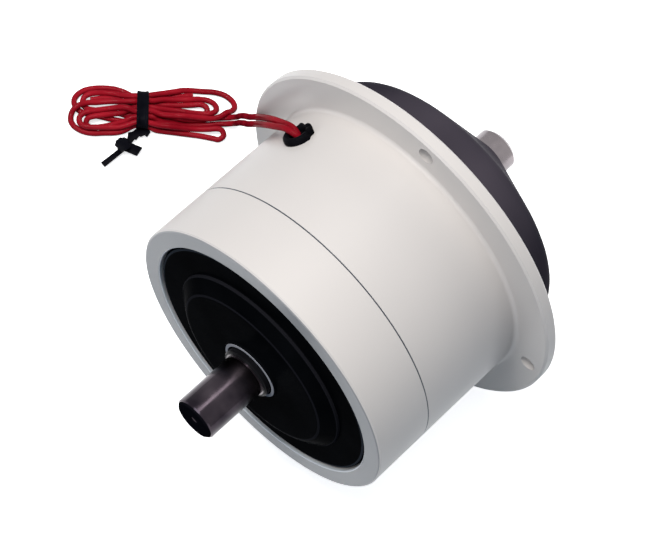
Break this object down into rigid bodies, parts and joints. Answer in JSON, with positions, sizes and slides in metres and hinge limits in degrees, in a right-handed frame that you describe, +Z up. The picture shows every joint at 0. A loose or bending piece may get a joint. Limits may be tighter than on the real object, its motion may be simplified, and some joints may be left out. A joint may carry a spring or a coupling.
{
  "type": "magnetic powder clutch",
  "caption": "Magnetic powder clutch with a flanged round housing, a domed front disc, a cone-shaped rear cover, a plain shaft at each end and a tied hank of lead wires.",
  "frame": {"origin": "centre of the mounting flange's rear face, on the shafts' common axis", "axes": "+Y along the axis towards the rear cover and the output shaft, so the input shaft points along -Y; +Z up, with one bolt hole straight above the axis; +X to the right as seen from the front"},
  "size_m": [0.1944, 0.1401, 0.127],
  "materials": {
    "housing_steel": "turned, clear plated, satin with a warm tint",
    "cover_black": "satin black finish over a cast and turned cover",
    "disc_black": "glossy black finish",
    "shaft_steel": "ground and polished",
    "collar_black": "black oxide",
    "inner_steel": "machined",
    "clip_steel": "phosphated spring steel",
    "bearing_steel": "ground and polished",
    "cage_brass": "stamped, satin",
    "middle_bronze": "turned, non-magnetic",
    "winding_copper": "enamelled wire, wound",
    "bobbin_nylon": "moulded",
    "powder_iron": "fine dry powder",
    "felt": "pressed felt",
    "grommet_rubber": "soft, matt",
    "lead_red": "extruded insulation, glossy",
    "tie_black": "moulded nylon, glossy"
  },
  "bodies": {
    "stator": {"rear_housing": "housing_steel", "front_ring": "housing_steel", "coil_bobbin": "bobbin_nylon", "coil_winding": "winding_copper", "rear_cover": "cover_black", "cover_screws": "inner_steel", "cover_felt_ring": "felt", "bearing_circlip": "clip_steel", "nose_circlip": "clip_steel", "drum_bearing_inner": "bearing_steel", "front_bearing_outer": "bearing_steel", "rear_bearing_outer": "bearing_steel", "lead_grommet": "grommet_rubber", "lead_a": "lead_red", "lead_b": "lead_red", "lead_hank": "lead_red", "cable_tie": "tie_black"},
    "drive": {"front_disc": "disc_black", "front_shaft": "shaft_steel", "shaft_collar": "collar_black", "drum_front": "inner_steel", "drum_middle": "middle_bronze", "drum_rear": "inner_steel", "drum_end_plate": "inner_steel", "drum_screws": "inner_steel", "front_shield": "inner_steel", "rear_shield": "inner_steel", "magnetic_powder": "powder_iron", "pilot_bush": "middle_bronze", "drum_bearing_outer": "bearing_steel"},
    "driven": {"rotor": "inner_steel", "output_shaft": "shaft_steel", "rotor_key": "inner_steel", "rotor_spacer": "inner_steel", "rotor_circlip": "clip_steel", "front_bearing_inner": "bearing_steel", "rear_bearing_inner": "bearing_steel"},
    "drum_bearing_set": {"drum_bearing_balls": "bearing_steel", "drum_bearing_cage": "cage_brass"},
    "front_bearing_set": {"front_bearing_balls": "bearing_steel", "front_bearing_cage": "cage_brass"},
    "rear_bearing_set": {"rear_bearing_balls": "bearing_steel", "rear_bearing_cage": "cage_brass"}
  },
  "joints": [
    {"name": "input_turn", "type": "hinge", "parent": "stator", "child": "drive", "pos_m": [0, 0, 0], "axis": [0, 1, 0], "continuous": true},
    {"name": "output_turn", "type": "hinge", "parent": "stator", "child": "driven", "pos_m": [0, 0, 0], "axis": [0, 1, 0], "continuous": true},
    {"name": "drum_bearing_turn", "type": "hinge", "parent": "stator", "child": "drum_bearing_set", "pos_m": [0, 0, 0], "axis": [0, 1, 0], "continuous": true},
    {"name": "front_bearing_turn", "type": "hinge", "parent": "stator", "child": "front_bearing_set", "pos_m": [0, 0, 0], "axis": [0, 1, 0], "continuous": true},
    {"name": "rear_bearing_turn", "type": "hinge", "parent": "stator", "child": "rear_bearing_set", "pos_m": [0, 0, 0], "axis": [0, 1, 0], "continuous": true}
  ],
  "couplings": [
    {"joint": "drum_bearing_turn", "follows": "input_turn", "ratio": 0.5427},
    {"joint": "front_bearing_turn", "follows": "output_turn", "ratio": 0.4349},
    {"joint": "rear_bearing_turn", "follows": "output_turn", "ratio": 0.4349}
  ]
}
